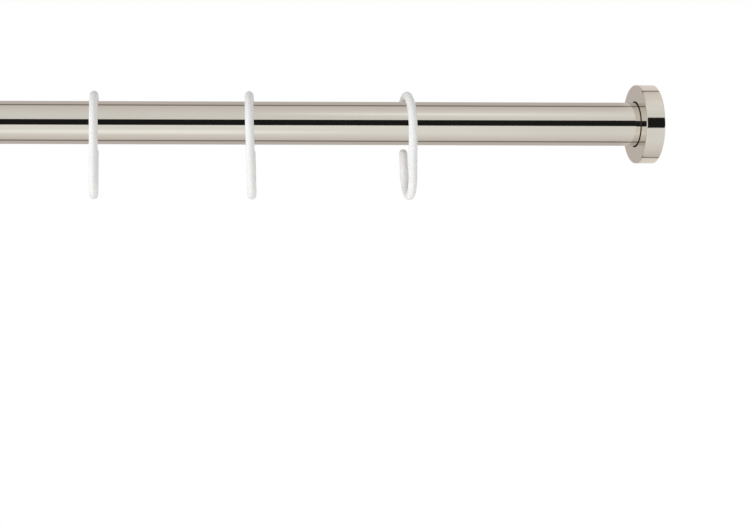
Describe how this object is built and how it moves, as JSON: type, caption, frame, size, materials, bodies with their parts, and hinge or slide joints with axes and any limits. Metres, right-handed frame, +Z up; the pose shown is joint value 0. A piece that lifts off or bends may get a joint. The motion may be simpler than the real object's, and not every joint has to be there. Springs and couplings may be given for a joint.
{
  "type": "curtain rod with brackets",
  "caption": "Straight round rod on wall brackets under round sliding flange covers, with open curtain hooks that slide along it.",
  "frame": {"origin": "where the rod's axis meets the right-hand wall, at the middle of the right bracket's back face", "axes": "+X along the rod's axis, out of the right bracket into the right-hand wall; +Z up; -Y the side the curtain is looked at from"},
  "size_m": [1.584, 0.046, 0.068],
  "materials": {
    "polished_nickel": "mirror-polished warm nickel plate",
    "cast_zinc": "grey die-cast zinc, as cast",
    "plated_steel": "bright zinc-plated steel",
    "grey_nylon": "moulded grey nylon",
    "black_rubber": "black rubber",
    "white_plastic": "glossy moulded white plastic"
  },
  "bodies": {
    "rod": {"rod_tube": "polished_nickel", "left_wall_bracket": "cast_zinc", "left_wall_screw_1": "plated_steel", "left_wall_anchor_1": "grey_nylon", "left_wall_screw_2": "plated_steel", "left_wall_anchor_2": "grey_nylon", "left_wall_screw_3": "plated_steel", "left_wall_anchor_3": "grey_nylon", "right_wall_bracket": "cast_zinc", "right_wall_screw_1": "plated_steel", "right_wall_anchor_1": "grey_nylon", "right_wall_screw_2": "plated_steel", "right_wall_anchor_2": "grey_nylon", "right_wall_screw_3": "plated_steel", "right_wall_anchor_3": "grey_nylon"},
    "left_cover": {"left_flange_cover": "polished_nickel", "left_cover_seal": "black_rubber"},
    "right_cover": {"right_flange_cover": "polished_nickel", "right_cover_seal": "black_rubber"},
    "hook_1": {"curtain_hook_1": "white_plastic"},
    "hook_2": {"curtain_hook_2": "white_plastic"},
    "hook_3": {"curtain_hook_3": "white_plastic"}
  },
  "joints": [
    {"name": "left_cover_slide", "type": "slide", "parent": "rod", "child": "left_cover", "axis": [1, 0, 0], "range_m": [0, 0.05]},
    {"name": "right_cover_slide", "type": "slide", "parent": "rod", "child": "right_cover", "axis": [-1, 0, 0], "range_m": [0, 0.05]},
    {"name": "hook_1_slide", "type": "slide", "parent": "rod", "child": "hook_1", "axis": [1, 0, 0], "range_m": [-1.11, 0.04]},
    {"name": "hook_2_slide", "type": "slide", "parent": "rod", "child": "hook_2", "axis": [1, 0, 0], "range_m": [-0.04, 0.04]},
    {"name": "hook_3_slide", "type": "slide", "parent": "rod", "child": "hook_3", "axis": [1, 0, 0], "range_m": [-0.04, 0.07]}
  ]
}
